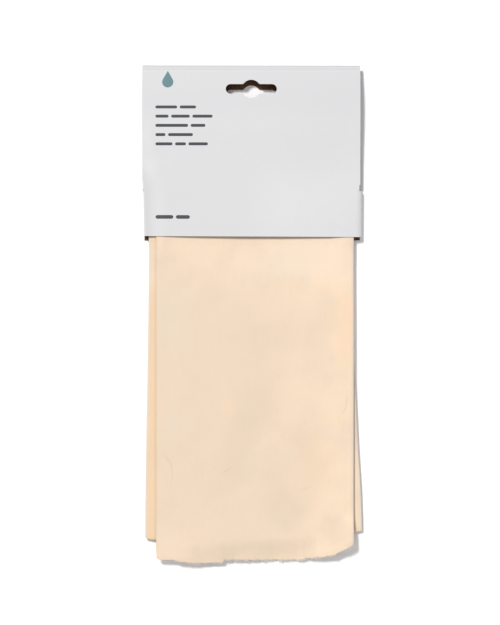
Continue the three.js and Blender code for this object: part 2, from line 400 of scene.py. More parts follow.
def to_object(name, mesh, materials):
    """Makes an object, in metres, of a mesh that was drawn in millimetres from the card's mouth."""
    bmesh.ops.translate(mesh, verts=mesh.verts, vec=mouth_to_origin)
    bmesh.ops.scale(mesh, verts=mesh.verts, vec=(mm, mm, mm))
    data = bpy.data.meshes.new(name)
    mesh.to_mesh(data)
    mesh.free()
    for material in materials:
        data.materials.append(material)
    piece = bpy.data.objects.new(name, data)
    bpy.context.collection.objects.link(piece)
    return piece


def keep_modifiers(piece, sharp_degrees):
    """Turns the piece's modifiers into its own mesh, and keeps its cut edges crisp."""
    bpy.context.view_layer.update()
    graph = bpy.context.evaluated_depsgraph_get()
    piece.data = bpy.data.meshes.new_from_object(piece.evaluated_get(graph))
    piece.modifiers.clear()
    piece.data.shade_smooth()
    piece.data.set_sharp_from_angle(angle=math.radians(sharp_degrees))


light_on_table = 1.24


def paint(red, green, blue):
    """The shader's colour that looks like a picture's colour, 0 to 255, in the light on the table.

    It undoes the picture's sRGB curve and the brightness of that light.
    """
    linear = []
    for value in (red, green, blue):
        share = value / 255
        bright = share / 12.92 if share <= 0.04045 else ((share + 0.055) / 1.055) ** 2.4
        linear.append(bright / light_on_table)
    return (*linear, 1)


class Finish:
    """A material in the making, with the nodes that the finishes of this pack share."""

    def __init__(self, name, roughness):
        self.material = bpy.data.materials.new(name)
        self.material.use_nodes = True
        self.tree = self.material.node_tree
        self.tree.nodes.clear()
        self.shader = self.add("ShaderNodeBsdfPrincipled")
        self.shader.inputs["Roughness"].default_value = roughness
        output = self.add("ShaderNodeOutputMaterial")
        self.join(self.shader.outputs["BSDF"], output.inputs["Surface"])
        self.place = self.add("ShaderNodeTexCoord").outputs["Object"]

    def add(self, kind):
        return self.tree.nodes.new(kind)

    def join(self, source, target):
        self.tree.links.new(source, target)

    def coloured(self, colour):
        """Gives the surface its colour."""
        self.join(colour, self.shader.inputs["Base Color"])

    def embossed(self, relief):
        """Gives the surface its relief."""
        self.join(relief, self.shader.inputs["Normal"])

    def grain(self, size, detail=2.0, rough=0.5, stretch=(1, 1, 1), turn=0.0):
        """Noise whose lumps are about size millimetres across, in a socket from 0 to 1."""
        turned = self.add("ShaderNodeMapping")
        turned.inputs["Rotation"].default_value = (0, 0, turn)
        turned.inputs["Scale"].default_value = stretch
        self.join(self.place, turned.inputs["Vector"])
        texture = self.add("ShaderNodeTexNoise")
        texture.inputs["Scale"].default_value = 1 / (size * mm)
        texture.inputs["Detail"].default_value = detail
        texture.inputs["Roughness"].default_value = rough
        self.join(turned.outputs["Vector"], texture.inputs["Vector"])
        return texture.outputs["Fac"]

    def axis(self, name):
        """The place along one axis of the pack, in metres."""
        parts = self.add("ShaderNodeSeparateXYZ")
        self.join(self.place, parts.inputs["Vector"])
        return parts.outputs[name]

    def own(self, name):
        """A value that the mesh itself carries at each of its points."""
        source = self.add("ShaderNodeAttribute")
        source.attribute_name = name
        return source.outputs["Fac"]

    def span(self, source, low, high, start=0.0, end=1.0):
        """The part of a socket between low and high, spread softly from start to end."""
        step = self.add("ShaderNodeMapRange")
        step.interpolation_type = "SMOOTHSTEP"
        step.inputs["From Min"].default_value = low
        step.inputs["From Max"].default_value = high
        step.inputs["To Min"].default_value = start
        step.inputs["To Max"].default_value = end
        self.join(source, step.inputs["Value"])
        return step.outputs["Result"]

    def mix(self, factor, first, second):
        """First where the factor is 0 and second where it is 1. Each is a colour or a socket."""
        blend = self.add("ShaderNodeMix")
        blend.data_type = "RGBA"
        self.join(factor, blend.inputs["Factor"])
        for value, target in ((first, blend.inputs["A"]), (second, blend.inputs["B"])):
            if isinstance(value, tuple):
                target.default_value = value
            else:
                self.join(value, target)
        return blend.outputs["Result"]

    def bump(self, height, strength, depth, under=None):
        """Relief from a height socket, depth in millimetres, on top of what lies under it."""
        relief = self.add("ShaderNodeBump")
        relief.inputs["Strength"].default_value = strength
        relief.inputs["Distance"].default_value = depth * mm
        self.join(height, relief.inputs["Height"])
        if under is not None:
            self.join(under, relief.inputs["Normal"])
        return relief.outputs["Normal"]


def leather_finish(name, left, right, upper, cloud, fleck):
    """Napped chamois, lighter to the right and towards the top, clouded, with a fine brushed nap.

    Painted shade greys the nap along the outermost line of each fold, and darkens a line where
    the raw side edge lies.
    """
    finish = Finish(name, roughness=0.92)
    finish.shader.inputs["Sheen Weight"].default_value = 0.08
    finish.shader.inputs["Sheen Roughness"].default_value = 0.45
    finish.shader.inputs["Specular IOR Level"].default_value = 0.2
    finish.shader.inputs["Subsurface Weight"].default_value = 0.3
    finish.shader.inputs["Subsurface Radius"].default_value = (1.0, 0.62, 0.4)
    finish.shader.inputs["Subsurface Scale"].default_value = 1.1 * mm
    across = finish.axis("X")
    colour = finish.mix(finish.span(across, low=-0.01, high=0.06), left, right)
    upwards = finish.span(finish.axis("Y"), low=0.0, high=0.042, end=0.5)
    colour = finish.mix(upwards, colour, upper)
    broad = finish.grain(size=30, detail=3.0, rough=0.55)
    colour = finish.mix(finish.span(broad, low=0.42, high=0.7, end=0.7), colour, cloud)
    brushed = finish.grain(size=2.4, detail=3.0, rough=0.6, stretch=(1, 0.3, 1), turn=0.5)
    colour = finish.mix(finish.span(brushed, low=0.5, high=0.85, end=0.12), colour, fleck)
    speckle = finish.grain(size=0.45, detail=2.0, rough=0.6)
    colour = finish.mix(finish.span(speckle, low=0.5, high=0.85, end=0.15), colour, fleck)
    # Painted shade greys the nap along the outermost line of each fold.
    fold_shaded = finish.span(finish.own("fold_shade"), low=0.1, high=1, end=0.85)
    colour = finish.mix(fold_shaded, colour, fold_shade_grey)
    # Painted shade: a darker line along the raw side edge, where the front ply lies on the next.
    raw_edge_shade = finish.mix(finish.span(across, low=-0.0636, high=-0.062, end=0.4), colour, fleck)
    colour = finish.mix(finish.span(across, low=-0.062, high=-0.0604), raw_edge_shade, colour)
    nap = finish.grain(size=0.28, detail=3.0, rough=0.7)
    relief = finish.bump(nap, strength=0.3, depth=0.1)
    finish.embossed(finish.bump(brushed, strength=0.2, depth=0.14, under=relief))
    return finish, colour


def oval(finish, middle_px, size_px, turn_degrees, strength, wander):
    """A soft oval on the front ply, from strength in its middle to 0 at its rim."""
    x, y = from_photo(*middle_px)
    spot = finish.add("ShaderNodeMapping")
    spot.vector_type = "TEXTURE"
    spot.inputs["Location"].default_value = (x * mm, y * mm, 0)
    spot.inputs["Rotation"].default_value = (0, 0, math.radians(turn_degrees))
    half_across = size_px[0] / 2 / pixels_per_mm * mm
    half_down = size_px[1] / 2 / pixels_per_mm * mm
    spot.inputs["Scale"].default_value = (half_across, half_down, 1)
    finish.join(wander, spot.inputs["Vector"])
    fade = finish.add("ShaderNodeTexGradient")
    fade.gradient_type = "SPHERICAL"
    finish.join(spot.outputs["Vector"], fade.inputs["Vector"])
    return finish.span(fade.outputs["Fac"], low=0.0, high=0.75, end=strength)


# The grey of the painted shade along the folds.
fold_shade_grey = paint(231, 219, 207)
face_left = paint(245, 224, 199)
face_right = paint(254, 230, 203)
face_upper = paint(261, 236, 209)
face_cloud = paint(242, 221, 197)
face_fleck = paint(222, 200, 174)
front_hide, hide_colour = leather_finish(
    "chamois_face", face_left, face_right, face_upper, face_cloud, face_fleck
)

# Places on the front ply where the hide is warmer, greyer or paler, then painted shade, in its
# hollows, along its drooping foot, on its curled lower right corner and in the creases of its
# last folding. Each is an oval in pixels: middle, width and height, turn in degrees, strength.
orange_ovals = (
    ((348, 326), (44, 110), 0, 0.4),
    ((229, 403), (26, 24), 0, 0.3),
    ((316, 462), (50, 90), -12, 0.2),
)
grey_ovals = (
    ((172, 310), (60, 120), 0, 0.4),
    ((176, 425), (44, 50), 0, 0.35),
)
pale_ovals = (
    ((298, 258), (150, 66), 0, 0.42),
)
# Painted shade in the hollows of the front ply, along its drooping foot and on its curled corner.
shade_ovals = (
    ((236, 452), (50, 124), -22, 0.22),
    ((284, 512), (70, 60), 25, 0.24),
    ((226, 551), (110, 22), 4, 0.3),
    ((337, 533), (62, 42), -30, 0.48),
    ((256, 408), (76, 92), -15, 0.16),
    ((298, 472), (84, 110), 10, 0.2),
)
# Painted shade in the creases of its last folding.
crease_shade_ovals = (
    ((169.5, 468), (3.2, 54), 13, 0.35),
    ((343.5, 405), (3.0, 40), -18, 0.3),
    ((305, 486), (3.0, 22), -66, 0.2),
    ((224, 472), (3.4, 24), -52, 0.3),
)
oily_orange = paint(259, 224, 188)
grey_green = paint(242, 226, 206)
pale_nap = paint(257, 238, 218)
hollow_shade_tone = paint(226, 208, 185)

# The ovals' rims wander, so that none of them looks drawn.
wander_size = 14
wander_reach = 14
shift = front_hide.add("ShaderNodeTexNoise")
shift.inputs["Scale"].default_value = 1 / (wander_size * mm)
shift.inputs["Detail"].default_value = 2.0
front_hide.join(front_hide.place, shift.inputs["Vector"])
centred = front_hide.add("ShaderNodeVectorMath")
centred.operation = "SUBTRACT"
centred.inputs[1].default_value = (0.5, 0.5, 0.5)
front_hide.join(shift.outputs["Color"], centred.inputs[0])
pushed = front_hide.add("ShaderNodeVectorMath")
pushed.operation = "SCALE"
pushed.inputs["Scale"].default_value = wander_reach * mm
front_hide.join(centred.outputs["Vector"], pushed.inputs[0])
wander = front_hide.add("ShaderNodeVectorMath")
wander.operation = "ADD"
front_hide.join(front_hide.place, wander.inputs[0])
front_hide.join(pushed.outputs["Vector"], wander.inputs[1])
for tint, ovals in (
    (oily_orange, orange_ovals),
    (grey_green, grey_ovals),
    (pale_nap, pale_ovals),
    (hollow_shade_tone, shade_ovals),
    (face_fleck, crease_shade_ovals),
):
    for middle, size, turn, strength in ovals:
        spot = oval(front_hide, middle, size, turn, strength, wander.outputs["Vector"])
        hide_colour = front_hide.mix(spot, hide_colour, tint)
front_hide.coloured(hide_colour)

back_left = paint(250, 220, 185)
back_right = paint(252, 227, 200)
back_upper = paint(256, 248, 234)
back_cloud = paint(247, 217, 184)
back_fleck = paint(226, 196, 158)
back_hide, back_colour = leather_finish(
    "chamois_reverse", back_left, back_right, back_upper, back_cloud, back_fleck
)
back_hide.coloured(back_colour)

cut_pale = paint(238, 216, 188)
cut_dull = paint(214, 186, 150)
cut_hide = Finish("chamois_cut_edge", roughness=0.95)
cut_fibres = cut_hide.grain(size=0.35, detail=3.0, rough=0.7)
cut_hide.coloured(cut_hide.mix(cut_fibres, cut_pale, cut_dull))
cut_hide.embossed(cut_hide.bump(cut_fibres, strength=0.6, depth=0.15))

skin_mesh = bmesh.new()
last_station = len(skin_stations) - 1
bmesh.ops.create_grid(skin_mesh, x_segments=last_station, y_segments=skin_rows, size=0.5)
skin_mesh.verts.ensure_lookup_table()
thickness_group = skin_mesh.verts.layers.deform.new()
fold_shade_layer = skin_mesh.verts.layers.float.new("fold_shade")
for vert in skin_mesh.verts:
    column = round((vert.co.x + 0.5) * last_station)
    down = 0.5 - vert.co.y
    vert.co = skin_place(skin_stations[column], down)
    vert[fold_shade_layer] = fold_shade(skin_stations[column])
    from_foot = (1 - down) * skin_rows
    vert[thickness_group][0] = min(1, foot_weight + from_foot / full_weight_rows)
skin = to_object(
    "chamois_skin_folded", skin_mesh, (front_hide.material, back_hide.material, cut_hide.material)
)
skin.vertex_groups.new(name="full_thickness")
thicken = skin.modifiers.new("thickness", "SOLIDIFY")
thicken.thickness = ply_thickness * mm
thicken.offset = 0
thicken.vertex_group = "full_thickness"
thicken.thickness_vertex_group = least_thickness
thicken.material_offset = 1
thicken.material_offset_rim = 2
keep_modifiers(skin, sharp_degrees=50)
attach(skin, "skin")
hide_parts("chamois_skin")


# Fibres. Where the hide was torn at its foot instead of cut, loose bundles of its fibres stand out
# of the edge in tufts. Each is a thin bent spike with three sides, rooted in the front ply.
fibre_count = 2400
fibre_seed = 11
fibre_root = 0.25
fibre_cuts = 3
fibre_tip = 0.3
fibre_shortest = 0.35
fibre_reach = 2.1
fibre_thinnest = 0.05
fibre_stouter = 0.07
heading_spread = 0.6
bend_spread = 0.35
droop_span = (-0.55, 0.15)
torn_left = (-22, -12)
torn_right = (30, 46)
least_torn = 0.45
least_tuft = 0.15
tuft_width = 1.3
tuft_span = (-0.15, 0.4)
spike = bmesh.new()
bmesh.ops.create_cone(
    spike, cap_ends=True, segments=3, radius1=1, radius2=fibre_tip, depth=1
)
bmesh.ops.translate(spike, verts=spike.verts, vec=(0, 0, 0.5))
spike_sides = [edge for edge in spike.edges if abs(edge.verts[0].co.z - edge.verts[1].co.z) > 0.5]
bmesh.ops.subdivide_edges(spike, edges=spike_sides, cuts=fibre_cuts)
spike_data = bpy.data.meshes.new("straight_fibre")
spike.to_mesh(spike_data)
spike.free()
fibre_mesh = bmesh.new()


def fibre_chance(x):
    """How likely the torn edge is to keep a fibre at x."""
    most_torn = (1 - least_torn) * eased(x, *torn_left) * (1 - eased(x, *torn_right))
    tuft = eased(noise.noise(Vector((x / tuft_width, 0.7, 6.1))), *tuft_span)
    return (least_torn + most_torn) * (least_tuft + (1 - least_tuft) * tuft)


def add_fibre(root, heading, length, thickness, bend, droop):
    """A bent spike from a root on the torn edge. Its heading is 0 straight down the skin."""
    fibre_mesh.from_mesh(spike_data)
    fibre_mesh.verts.ensure_lookup_table()
    onward = Vector((math.sin(heading), -math.cos(heading), 0))
    sideways = Vector((math.cos(heading), math.sin(heading), 0))
    for vert in fibre_mesh.verts[-len(spike_data.vertices):]:
        share = vert.co.z
        across = vert.co.x * thickness + bend * share**2
        up = vert.co.y * thickness - droop * share**2
        vert.co = root + onward * length * share + sideways * across + Vector((0, 0, up))


fibre_draw = random.Random(fibre_seed)
for _ in range(fibre_count):
    share = fibre_draw.random()
    chance = fibre_draw.random()
    heading = fibre_draw.gauss(0, heading_spread)
    length = fibre_root + fibre_shortest + fibre_reach * fibre_draw.random() ** 2
    thickness = fibre_thinnest + fibre_stouter * fibre_draw.random()
    bend = fibre_draw.gauss(0, bend_spread) * length
    droop = fibre_draw.uniform(*droop_span) * length
    root = skin_place((0, share, None), 1)
    if chance < fibre_chance(root.x):
        root.y += fibre_root
        add_fibre(root, heading, length, thickness, bend, droop)
loose_fibre = Finish("chamois_loose_fibre", roughness=0.95)
fibre_pale = paint(264, 254, 242)
fibre_cream = paint(248, 236, 220)
fibre_tones = loose_fibre.grain(size=1.2, detail=2.0, rough=0.6)
loose_fibre.coloured(loose_fibre.mix(fibre_tones, fibre_pale, fibre_cream))
fibres = to_object("chamois_foot_fibres", fibre_mesh, (loose_fibre.material,))
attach(fibres, "skin")


# Header card. One blank of grey board, brown inside, is printed and cut, with its hang slot punched
# twice. It is folded over the top of the skin, and its two tabs are creased down and glued inside.
# U runs across the blank, and V from the mouth's front edge over the top fold and down the back.
board_thickness = 0.4
front_level = 5.95
front_height = 110.3
fold_height = 4.8
fold_crease = 0.7
fold_lean = 2.4
fold_rise = 0.12
bulge_height = 7.2
bulge_y = 81.3
level_y = 35.3
bulge_pull = 0.42
mouth_crown = (
    (-70, 0),
    (-50, 0.1),
    (-30, 0.2),
    (-8, 0.4),
    (12, 0.65),
    (30, 0.95),
    (50, 0.95),
    (60, 0.75),
    (66, 0.45),
    (70, 0.1),
)
crown_run = (4, 44)
right_sag = 0.9
right_sag_across = (15, 66)
right_sag_up = (55, 105)
dent_line = (
    (0, -63.3),
    (30, -63.7),
    (36, -65),
    (42, -66.8),
    (50, -69),
    (57, -71),
    (66, -73),
    (88, -77),
)
dent_depth = (
    (0, 0.55),
    (30, 0.5),
    (36, 0.45),
    (42, 0.6),
    (50, 1.15),
    (60, 1.2),
    (67, 1.3),
    (73, 0.7),
    (84, 0),
)
dent_rise = 0.024
dent_width = 9
mouth_lift = 0.28
mouth_skew = 0.33
mouth_lift_run = (4, 40)
fold_skew = 0.1
fold_skew_run = (60, 105)
groove_y = 107.25
groove_half = 0.6
groove_depth = 0.09
back_foot_y = -2
tab_length = 29.7
tab_crease = {-1: 0.7, 1: 2.3}
tab_roll = 9
lap_crease = 0.9
lap_width = 11
lap_taper = 4
lap_level = 0.55
tab_shift = {-1: -1.1, 1: 1.0}
tab_shift_above = {-1: -0.5, 1: 1.2}
relief_length = 4
relief_depth = {-1: 0, 1: 0.5}
relief_slit = 0.15
slot_half = 16.4
wing_half = 3.15
slot_radius = 6
slot_fillet = 1.5
slot_y = 95
slot_drop = 3
wing_steps = 12
shoulder_steps = 4
middle_steps = 14
curve_step = 1.6
fold_steps = 8
same_point = 0.001


def tab_runs(side):
    """The distances from the start of a tab's crease to its wall's start and end and its lap."""
    wall_start = tab_crease[side] * math.pi / 2
    wall_end = wall_start + front_level - tab_crease[side] - lap_level - lap_crease
    return wall_start, wall_end, wall_end + lap_crease * math.pi / 2


def bezier(start, first_pull, second_pull, end, steps):
    """Points along a curve from start to end, pulled towards the two points between them."""
    points = [Vector((*point, 0)) for point in (start, first_pull, second_pull, end)]
    return [(point.x, point.y) for point in interpolate_bezier(*points, steps + 1)]


def arc(centre, radius, start, end, steps):
    """Points round a centre from one angle to another, in radians, the first one left out."""
    points = []
    for step in range(1, steps + 1):
        angle = start + (end - start) * step / steps
        points.append((centre[0] + radius * math.cos(angle), centre[1] + radius * math.sin(angle)))
    return points


front_crease = (front_height - fold_crease, fold_height - fold_crease)
back_crease = (front_crease[0] - fold_lean, fold_crease)
spine_lean = math.atan2(front_crease[1] - back_crease[1], fold_lean) - math.pi / 2
crease_top = math.pi / 2 - math.atan(fold_rise)
crest_y = front_crease[0] + fold_crease * math.cos(crease_top)
crest_z = front_crease[1] + fold_crease * math.sin(crease_top)
climb = (front_crease[0] - bulge_y) * bulge_pull
rise = bulge_y - level_y
card_profile = [(0, front_level)]
card_profile += bezier(
    (level_y, front_level),
    (level_y + rise * bulge_pull, front_level),
    (bulge_y - rise * bulge_pull, bulge_height),
    (bulge_y, bulge_height),
    round(rise / curve_step),
)
card_profile += bezier(
    (bulge_y, bulge_height),
    (bulge_y + climb, bulge_height),
    (crest_y - climb, crest_z + climb * fold_rise),
    (crest_y, crest_z),
    round((crest_y - bulge_y) / curve_step),
)[1:]
crest_index = len(card_profile) - 1
card_profile += arc(front_crease, fold_crease, crease_top, spine_lean, fold_steps)
card_profile += arc(back_crease, fold_crease, spine_lean, -math.pi / 2, fold_steps)
card_profile.append((back_foot_y, 0))
profile_runs = [0]
for (y0, z0), (y1, z1) in zip(card_profile, card_profile[1:]):
    profile_runs.append(profile_runs[-1] + math.hypot(y1 - y0, z1 - z0))
blank_length = profile_runs[-1]
crest_v = profile_runs[crest_index]


def folded_over(v):
    """The y and the height at which the printed face lies, at a distance v along the blank."""
    for run0, run1, (y0, z0), (y1, z1) in zip(
        profile_runs, profile_runs[1:], card_profile, card_profile[1:]
    ):
        if v <= run1:
            share = (v - run0) / (run1 - run0)
            return y0 + (y1 - y0) * share, z0 + (z1 - z0) * share
    return card_profile[-1]


def crease_at(side, v):
    """How far across the blank a tab's crease starts. Both are struck a little too far right."""
    above = v / tab_length
    shift = tab_shift[side] + (tab_shift_above[side] - tab_shift[side]) * above
    return card_half - tab_crease[side] + shift


def creased_down(side, run):
    """How far out and how high a tab's face lies, at a distance run from its crease's start."""
    radius = tab_crease[side]
    wall_start, wall_end, lap_start = tab_runs(side)
    if run <= wall_start:
        angle = run / radius
        return radius * math.sin(angle), front_level - radius * (1 - math.cos(angle))
    if run <= wall_end:
        return radius, front_level - radius - (run - wall_start)
    if run <= lap_start:
        angle = (run - wall_end) / lap_crease
        return (
            radius - lap_crease * (1 - math.cos(angle)),
            lap_level + lap_crease * (1 - math.sin(angle)),
        )
    return radius - lap_crease - (run - lap_start), lap_level


def sagged(x, y):
    """How far the front panel has sunk: along its right side, and in a dent near its left crease.

    Left of the dent the panel rises again, above its own level at the crease.
    """
    if x > 0:
        return right_sag * eased(x, *right_sag_across) * (1 - eased(y, *right_sag_up))
    depth = along(dent_depth, y)
    from_dent = x - along(dent_line, y)
    if from_dent > 0:
        return depth * (1 - eased(from_dent, 0, dent_width))
    return depth - dent_rise * from_dent**2


def fold_blank(u, v):
    """Where a point of the flat blank's printed face comes to lie on the folded card."""
    y, z = folded_over(v)
    side = 1 if u > 0 else -1
    x = abs(u)
    if v < crest_v:
        start = crease_at(side, min(v, tab_length))
        crown = along(mouth_crown, side * x) * (1 - eased(y, *crown_run))
        if v < tab_length and x > start:
            sag = sagged(side * start, y)
            out, height = creased_down(side, x - start)
            x = start + out
            z = lap_level + (height - lap_level) * (1 - sag / (front_level - lap_level))
        else:
            z += crown - sagged(side * x, y)
            z -= groove_depth * max(0, 1 - abs(y - groove_y) / groove_half)
            if side < 0 and x > start:
                out, height = creased_down(side, x - start)
                rolled = 1 - eased(v, tab_length, tab_length + tab_roll)
                x += (start + out - x) * rolled
                z += (height - front_level) * rolled
        lift = mouth_lift - mouth_skew * side * x / card_half
        y += lift * (1 - eased(y, *mouth_lift_run))
    y -= fold_skew * (side * x / card_half + 1) / 2 * eased(y, *fold_skew_run)
    return Vector((side * x, y, z))


def front_run(y):
    """The distance along the blank at which the front panel comes to lie at y."""
    for run, (low, _), (high, _) in zip(profile_runs, card_profile, card_profile[1:]):
        if y <= high:
            return run + y - low
    return crest_v


def v_at(y):
    """The distance along the blank at which the back panel comes to lie at y."""
    return blank_length - (y - back_foot_y)


def pen(mesh, start):
    """Starts a die line at a point of the blank."""
    return [mesh.verts.new((*start, 0))]


def line_to(mesh, line, point):
    """Draws a straight edge from the line's last point to a new one."""
    line.append(mesh.verts.new((*point, 0)))
    mesh.edges.new(line[-2:])


def arc_round(mesh, line, centre, degrees, steps):
    """Spins the line's last point round a centre, anticlockwise where degrees is positive."""
    bmesh.ops.spin(
        mesh,
        geom=line[-1:],
        cent=(*centre, 0),
        axis=(0, 0, 1),
        angle=math.radians(degrees),
        steps=steps,
    )
    known = set(line)
    while True:
        onward = [
            edge.other_vert(line[-1]) for edge in line[-1].link_edges
            if edge.other_vert(line[-1]) not in known
        ]
        if not onward:
            break
        line.append(onward[0])
        known.add(onward[0])


def close_line(mesh, line):
    """Closes a die line, and joins its end to its start where they meet."""
    if (line[0].co - line[-1].co).length < same_point:
        bmesh.ops.weld_verts(mesh, targetmap={line[-1]: line[0]})
        line.pop()
    else:
        mesh.edges.new((line[-1], line[0]))


def punch_slot(mesh, centre_v):
    """Draws the hang slot: two wings with round ends, and a round middle with soft shoulders."""
    end = slot_half - wing_half
    shoulder_v = wing_half + slot_fillet
    shoulder_u = math.sqrt((slot_radius + slot_fillet) ** 2 - shoulder_v**2)
    lean = math.degrees(math.atan2(shoulder_v, shoulder_u))
    line = pen(mesh, (end, centre_v - wing_half))
    for side in (1, -1):
        if side < 0:
            line_to(mesh, line, (-end, centre_v + wing_half))
        near_shoulder = (side * shoulder_u, centre_v + side * shoulder_v)
        far_shoulder = (-side * shoulder_u, centre_v + side * shoulder_v)
        arc_round(mesh, line, (side * end, centre_v), 180, wing_steps)
        line_to(mesh, line, (side * shoulder_u, centre_v + side * wing_half))
        arc_round(mesh, line, near_shoulder, lean - 90, shoulder_steps)
        arc_round(mesh, line, (0, centre_v), 180 - 2 * lean, middle_steps)
        arc_round(mesh, line, far_shoulder, lean - 90, shoulder_steps)
    close_line(mesh, line)


def side_corners(side):
    """Corners of one side of the blank, from the mouth over the top fold to the back panel's end."""
    taper_v = tab_length - lap_taper
    tab_top = crease_at(side, tab_length)
    lap_start = tab_runs(side)[2]
    tab_run = lap_start + lap_width - lap_crease
    notch = relief_depth[side]
    back_edge = card_half + min(0, tab_shift[side])
    back_edge_above = card_half + min(0, tab_shift_above[side])
    corners = [
        (crease_at(side, 0) + tab_run, 0),
        (crease_at(side, taper_v) + tab_run, taper_v),
        (tab_top + lap_start, tab_length - relief_slit),
        (tab_top, tab_length - relief_slit),
        (tab_top, tab_length),
        (card_half - notch, tab_length),
    ]
    if notch:
        corners += [
            (card_half - notch, tab_length + relief_length - notch),
            (card_half, tab_length + relief_length),
        ]
    corners += [
        (card_half, v_at(tab_length + relief_slit)),
        (back_edge_above, v_at(tab_length)),
        (back_edge, v_at(0)),
        (back_edge, blank_length),
    ]
    return [(side * u, v) for u, v in corners]


blank = bmesh.new()
outline = pen(blank, side_corners(-1)[0])
for point in side_corners(1) + side_corners(-1)[:0:-1]:
    line_to(blank, outline, point)
close_line(blank, outline)
punch_slot(blank, front_run(slot_y))
punch_slot(blank, v_at(slot_y - slot_drop))

# The print, in ink on the flat blank: a plain drop of water over rows of plain bars, each of them a
# field of the board's own face. An ink's number is its place on the card's list of materials.
# A row is its v, the height of its bars and their widths.
inked_lines = []
bar_ink_number = 2
drop_ink_number = 4
cut_edge_number = 6
print_left = -61.5
bar_height = 1.9
bold_height = 2.4
bar_rows = (
    (83.3, bar_height, (14.0, 10.5)),
    (77.4, bar_height, (8.5, 12.0, 13.0)),
    (71.5, bar_height, (21.0, 9.5)),
    (65.6, bar_height, (6.5, 16.0)),
    (59.7, bar_height, (11.0, 7.0, 12.5)),
    (12.4, bold_height, (11.5, 9.0)),
)
bar_gap = 1.6
bar_end_steps = 6
drop_middle = (-53.6, 99.5)
drop_radius = 3.6
drop_reach = 7.4
drop_steps = 22


def ink_bar(left, v, width, height):
    """Draws a bar with round ends on the blank, to be filled with ink."""
    radius = height / 2
    line = pen(blank, (left + radius, v - radius))
    line_to(blank, line, (left + width - radius, v - radius))
    arc_round(blank, line, (left + width - radius, v), 180, bar_end_steps)
    line_to(blank, line, (left + radius, v + radius))
    arc_round(blank, line, (left + radius, v), 180, bar_end_steps)
    close_line(blank, line)
    inked_lines.append((line, bar_ink_number))


for v, height, widths in bar_rows:
    left = print_left
    for width in widths:
        ink_bar(left, v, width, height)
        left += width + bar_gap

drop_u, drop_v = drop_middle
drop_lean = math.degrees(math.asin(drop_radius / drop_reach))
start_angle = math.radians(180 - drop_lean)
drop_line = pen(
    blank,
    (drop_u + drop_radius * math.cos(start_angle), drop_v + drop_radius * math.sin(start_angle)),
)
arc_round(blank, drop_line, (drop_u, drop_v), 180 + 2 * drop_lean, drop_steps)
line_to(blank, drop_line, (drop_u, drop_v + drop_reach))
close_line(blank, drop_line)
inked_lines.append((drop_line, drop_ink_number))

for line, ink_number in inked_lines:
    field = blank.faces.new(line)
    field.material_index = ink_number
bmesh.ops.triangle_fill(blank, use_beauty=True, edges=blank.edges[:])

# The flat blank is divided wherever it will bend: beside its creases, finer the nearer they are,
# and across at every step of its profile. Then it is folded.
score_snap = 0.01
score_steps = [
    -57, -48, -39, -30, -25, -21, -18.5, -16, -14,
    -12, -10.5, -9, -7.5, -6.2, -5, -3.8, -2.6, -1.3,
]
crease_cuts = 6
lap_cuts = 4
tab_cuts = 6
roll_cuts = 4


def score(point, normal):
    """Divides the blank's faces along a line, so that the board can bend there."""
    geometry = blank.verts[:] + blank.edges[:] + blank.faces[:]
    bmesh.ops.bisect_plane(blank, geom=geometry, dist=score_snap, plane_co=point, plane_no=normal)


for side in (1, -1):
    wall_start, wall_end, lap_start = tab_runs(side)
    crease_steps = [wall_start * step / crease_cuts for step in range(crease_cuts + 1)]
    lap_turn = lap_start - wall_end
    lap_steps = [wall_end + lap_turn * step / lap_cuts for step in range(lap_cuts + 1)]
    for run in score_steps + crease_steps + lap_steps:
        low_u = side * (crease_at(side, 0) + run)
        high_u = side * (crease_at(side, tab_length) + run)
        score((low_u, 0, 0), (tab_length, low_u - high_u, 0))
groove_runs = [front_run(groove_y + groove_half * step) for step in (-1, 0, 1)]
for run in profile_runs[1:-1] + groove_runs:
    score((0, run, 0), (0, 1, 0))
for step in range(1, tab_cuts):
    score((0, tab_length * step / tab_cuts, 0), (0, 1, 0))
for step in range(1, roll_cuts + 1):
    score((0, tab_length + tab_roll * step / roll_cuts, 0), (0, 1, 0))
bmesh.ops.triangulate(blank, faces=blank.faces[:])
bmesh.ops.dissolve_degenerate(blank, dist=score_snap, edges=blank.edges[:])
bmesh.ops.triangulate(blank, faces=blank.faces[:])
bmesh.ops.recalc_face_normals(blank, faces=blank.faces[:])
blank.faces.ensure_lookup_table()
if blank.faces[0].normal.z < 0:
    bmesh.ops.reverse_faces(blank, faces=blank.faces[:])
for vert in blank.verts:
    vert.co = fold_blank(vert.co.x, vert.co.y)

print_grey = Finish("card_printed_grey", roughness=0.5)
grey_pale = paint(229, 229, 230)
grey_dark = paint(228, 228, 229)
# Painted shade: the top, the crest, the crease and the lower left of the face are darker.
top_shade_grey = paint(218.5, 218.5, 220)
crest_shade_grey = paint(212, 212, 214)
crease_shade_grey = paint(165, 165, 167)
lower_left_shade_grey = paint(225, 225, 226)
pulp = print_grey.grain(size=5, detail=3.0, rough=0.6)
board_fibre = print_grey.grain(size=0.3, detail=3.0, rough=0.6)
print_and_shade = print_grey.mix(print_grey.span(pulp, low=0.35, high=0.65), grey_dark, grey_pale)
up_the_card = print_grey.axis("Y")
# Painted shade in bands up the card: towards the top fold, on its crest and on its crease.
for low, high, tone in (
    (0.12, 0.1515, top_shade_grey),
    (0.158, 0.1597, crest_shade_grey),
    (0.1595, 0.1598, crease_shade_grey),
):
    print_and_shade = print_grey.mix(print_grey.span(up_the_card, low, high), print_and_shade, tone)
